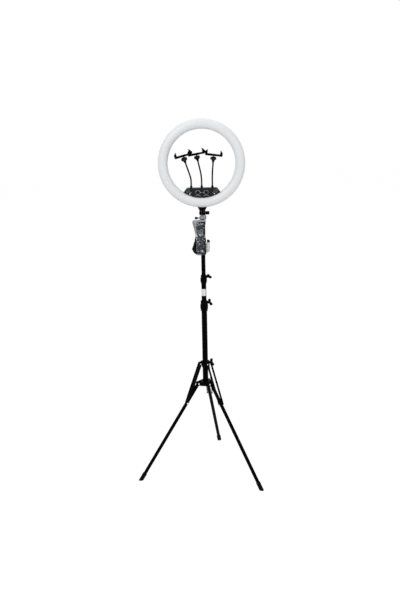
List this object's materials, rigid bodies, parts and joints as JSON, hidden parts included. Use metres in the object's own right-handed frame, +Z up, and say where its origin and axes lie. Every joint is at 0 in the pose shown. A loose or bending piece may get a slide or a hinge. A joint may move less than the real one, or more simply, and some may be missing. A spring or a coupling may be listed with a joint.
{
  "type": "ring light",
  "caption": "Floor-standing ring light on a folding tripod with a telescoping column, a tilting ring lamp with a control box, and phone clips on gooseneck arms.",
  "frame": {"origin": "on the floor, under the column's axis", "axes": "+Z up along the column, the lamp faces -Y, +X to the right of someone looking into the lamp"},
  "size_m": [0.6811, 0.661, 1.9345],
  "materials": {
    "black_tube": "gloss",
    "black_plastic": "satin",
    "black_steel": "satin",
    "steel": "satin",
    "black_rubber": "matte",
    "bush_plastic": "matte",
    "diffuser_white": "satin",
    "housing_black": "satin",
    "board_white": "satin",
    "chip_yellow": "gloss",
    "panel_slate": "satin",
    "board_green": "satin",
    "dial_black": "satin",
    "lens_white": "gloss",
    "gooseneck_black": "satin",
    "bag_film": "gloss",
    "pack_grey": "matte",
    "strap_black": "matte"
  },
  "bodies": {
    "base": {"lower_tube": "black_tube", "base_hub": "black_plastic", "column_end_cap": "black_plastic", "leg_pivot_pins": "steel", "mid_clamp": "black_plastic", "mid_clamp_bush": "bush_plastic"},
    "leg_1": {"leg_1": "black_tube", "foot_1": "black_rubber"},
    "leg_2": {"leg_2": "black_tube", "foot_2": "black_rubber"},
    "leg_3": {"leg_3": "black_tube", "foot_3": "black_rubber"},
    "collar": {"collar": "black_plastic", "collar_pivot_rivets": "steel"},
    "brace_1": {"brace_1": "black_steel"},
    "brace_2": {"brace_2": "black_steel"},
    "brace_3": {"brace_3": "black_steel"},
    "collar_knob": {"collar_lock_knob": "black_plastic"},
    "mid_knob": {"mid_clamp_knob": "black_plastic"},
    "middle_tube": {"middle_tube": "black_tube", "top_clamp": "black_plastic", "top_clamp_bush": "bush_plastic"},
    "top_knob": {"top_clamp_knob": "black_plastic"},
    "top_tube": {"top_tube": "black_tube", "spigot": "steel", "accessory_bag": "bag_film", "packed_accessories": "pack_grey", "bag_straps": "strap_black"},
    "pan_socket": {"pan_socket": "black_plastic"},
    "pan_knob": {"pan_lock_knob": "black_plastic"},
    "lamp_head": {"tilt_bracket": "black_plastic", "tilt_bolt": "steel", "diffuser": "diffuser_white", "rear_housing": "housing_black", "lamp_board": "board_white", "lamp_chips": "chip_yellow", "control_front": "panel_slate", "control_back": "panel_slate", "control_board": "board_green", "indicator_lenses": "lens_white", "housing_screws": "steel", "power_inlet": "steel", "arm_ferrules": "gooseneck_black"},
    "tilt_knob": {"tilt_knob": "black_plastic"},
    "brightness_dial": {"brightness_dial": "dial_black"},
    "colour_dial": {"colour_dial": "dial_black"},
    "power_button": {"power_button": "dial_black"},
    "mode_button": {"mode_button": "dial_black"},
    "left_arm": {"left_arm": "gooseneck_black"},
    "left_nut": {"left_ball_nut": "black_plastic"},
    "left_clip": {"left_clip": "black_plastic"},
    "left_jaw": {"left_jaw": "black_plastic"},
    "middle_arm": {"middle_arm": "gooseneck_black"},
    "middle_nut": {"middle_ball_nut": "black_plastic"},
    "middle_clip": {"middle_clip": "black_plastic"},
    "middle_jaw": {"middle_jaw": "black_plastic"},
    "right_arm": {"right_arm": "gooseneck_black"},
    "right_nut": {"right_ball_nut": "black_plastic"},
    "right_clip": {"right_clip": "black_plastic"},
    "right_jaw": {"right_jaw": "black_plastic"}
  },
  "joints": [
    {"name": "leg_1_fold", "type": "hinge", "parent": "base", "child": "leg_1", "pos_m": [0.00852, 0.04113, 0.52001], "axis": [0.9792, -0.2028, 0], "range_deg": [0, 146.5]},
    {"name": "leg_2_fold", "type": "hinge", "parent": "base", "child": "leg_2", "pos_m": [-0.03988, -0.01319, 0.52001], "axis": [-0.314, 0.9494, 0], "range_deg": [0, 146.5]},
    {"name": "leg_3_fold", "type": "hinge", "parent": "base", "child": "leg_3", "pos_m": [0.03136, -0.02794, 0.52001], "axis": [-0.6652, -0.7466, 0], "range_deg": [0, 146.5]},
    {"name": "collar_slide", "type": "slide", "parent": "base", "child": "collar", "axis": [0, 0, 1], "range_m": [0, 0.23953]},
    {"name": "brace_1_swing", "type": "hinge", "parent": "collar", "child": "brace_1", "pos_m": [0.00608, 0.02938, 0.63401], "axis": [-0.9792, 0.2028, 0], "range_deg": [0, 17.28]},
    {"name": "brace_2_swing", "type": "hinge", "parent": "collar", "child": "brace_2", "pos_m": [-0.02848, -0.00942, 0.63401], "axis": [0.314, -0.9494, 0], "range_deg": [0, 17.28]},
    {"name": "brace_3_swing", "type": "hinge", "parent": "collar", "child": "brace_3", "pos_m": [0.0224, -0.01996, 0.63401], "axis": [0.6652, 0.7466, 0], "range_deg": [0, 17.28]},
    {"name": "collar_knob_turn", "type": "hinge", "parent": "collar", "child": "collar_knob", "pos_m": [0.02753, 0.00911, 0.63401], "axis": [0.9494, 0.314, 0], "range_deg": [0, 270]},
    {"name": "mid_knob_turn", "type": "hinge", "parent": "base", "child": "mid_knob", "pos_m": [0.02279, 0.00754, 0.97451], "axis": [0.9494, 0.314, 0], "range_deg": [0, 270]},
    {"name": "middle_tube_slide", "type": "slide", "parent": "base", "child": "middle_tube", "axis": [0, 0, 1], "range_m": [-0.09, 0.26]},
    {"name": "top_knob_turn", "type": "hinge", "parent": "middle_tube", "child": "top_knob", "pos_m": [0.01946, 0.00644, 1.11701], "axis": [0.9494, 0.314, 0], "range_deg": [0, 270]},
    {"name": "top_tube_slide", "type": "slide", "parent": "middle_tube", "child": "top_tube", "axis": [0, 0, 1], "range_m": [-0.1, 0.057]},
    {"name": "head_pan", "type": "hinge", "parent": "top_tube", "child": "pan_socket", "pos_m": [0, 0, 1.39601], "axis": [0, 0, 1], "continuous": true},
    {"name": "pan_knob_turn", "type": "hinge", "parent": "pan_socket", "child": "pan_knob", "pos_m": [-0.0155, 0, 1.43051], "axis": [-1, 0, 0], "range_deg": [0, 270]},
    {"name": "head_tilt", "type": "hinge", "parent": "pan_socket", "child": "lamp_head", "pos_m": [0, 0, 1.45701], "axis": [1, 0, 0], "range_deg": [-80, 75]},
    {"name": "tilt_knob_turn", "type": "hinge", "parent": "lamp_head", "child": "tilt_knob", "pos_m": [0.0155, 0, 1.45701], "axis": [1, 0, 0], "range_deg": [0, 270]},
    {"name": "brightness_turn", "type": "hinge", "parent": "lamp_head", "child": "brightness_dial", "pos_m": [-0.0215, -0.017, 1.56451], "axis": [0, -1, 0], "range_deg": [-140, 140]},
    {"name": "colour_turn", "type": "hinge", "parent": "lamp_head", "child": "colour_dial", "pos_m": [0.0215, -0.017, 1.56451], "axis": [0, -1, 0], "range_deg": [-140, 140]},
    {"name": "power_press", "type": "slide", "parent": "lamp_head", "child": "power_button", "axis": [0, 1, 0], "range_m": [0, 0.0015], "stiffness_N_per_m": 400},
    {"name": "mode_press", "type": "slide", "parent": "lamp_head", "child": "mode_button", "axis": [0, 1, 0], "range_m": [0, 0.0015], "stiffness_N_per_m": 400},
    {"name": "left_arm_bend", "type": "hinge", "parent": "lamp_head", "child": "left_arm", "pos_m": [-0.055, 0, 1.60306], "axis": [1, 0, 0], "range_deg": [0, 35]},
    {"name": "left_clip_swivel", "type": "hinge", "parent": "left_arm", "child": "left_nut", "pos_m": [-0.08842, -0.02766, 1.73887], "axis": [-0.2948, -0.244, 0.9239], "continuous": true},
    {"name": "left_clip_tilt", "type": "hinge", "parent": "left_nut", "child": "left_clip", "pos_m": [-0.08842, -0.02766, 1.73887], "axis": [-0.9494, 0.1839, -0.2544], "range_deg": [-41.37, 12.63]},
    {"name": "left_jaw_open", "type": "slide", "parent": "left_clip", "child": "left_jaw", "axis": [0.9659, 0, 0.2588], "range_m": [0, 0.015], "stiffness_N_per_m": 300},
    {"name": "middle_arm_bend", "type": "hinge", "parent": "lamp_head", "child": "middle_arm", "pos_m": [-0.001, 0, 1.60306], "axis": [1, 0, 0], "range_deg": [-35, 0]},
    {"name": "middle_clip_swivel", "type": "hinge", "parent": "middle_arm", "child": "middle_nut", "pos_m": [-0.02326, 0.02812, 1.74306], "axis": [-0.2174, 0.2746, 0.9367], "continuous": true},
    {"name": "middle_clip_tilt", "type": "hinge", "parent": "middle_nut", "child": "middle_clip", "pos_m": [-0.02326, 0.02812, 1.74306], "axis": [0.968, 0.1841, 0.1707], "range_deg": [-43.22, 10.78]},
    {"name": "middle_jaw_open", "type": "slide", "parent": "middle_clip", "child": "middle_jaw", "axis": [0.9848, 0, 0.1736], "range_m": [0, 0.015], "stiffness_N_per_m": 300},
    {"name": "right_arm_bend", "type": "hinge", "parent": "lamp_head", "child": "right_arm", "pos_m": [0.054, 0, 1.60306], "axis": [1, 0, 0], "range_deg": [-25, 25]},
    {"name": "right_clip_swivel", "type": "hinge", "parent": "right_arm", "child": "right_nut", "pos_m": [0.0612, -0.0072, 1.73891], "axis": [0.08, -0.08, 0.9936], "continuous": true},
    {"name": "right_clip_tilt", "type": "hinge", "parent": "right_nut", "child": "right_clip", "pos_m": [0.0612, -0.0072, 1.73891], "axis": [-0.8393, 0.5322, 0.1105], "range_deg": [-32.43, 21.57]},
    {"name": "right_jaw_open", "type": "slide", "parent": "right_clip", "child": "right_jaw", "axis": [0.9914, 0, -0.1305], "range_m": [0, 0.015], "stiffness_N_per_m": 300}
  ],
  "couplings": [
    {"joint": "leg_2_fold", "follows": "leg_1_fold", "ratio": 1},
    {"joint": "leg_3_fold", "follows": "leg_1_fold", "ratio": 1},
    {"joint": "collar_slide", "follows": "leg_1_fold", "m_per_rad": 0.093676},
    {"joint": "brace_1_swing", "follows": "leg_1_fold", "ratio": 0.11787},
    {"joint": "brace_2_swing", "follows": "leg_1_fold", "ratio": 0.11787},
    {"joint": "brace_3_swing", "follows": "leg_1_fold", "ratio": 0.11787}
  ]
}
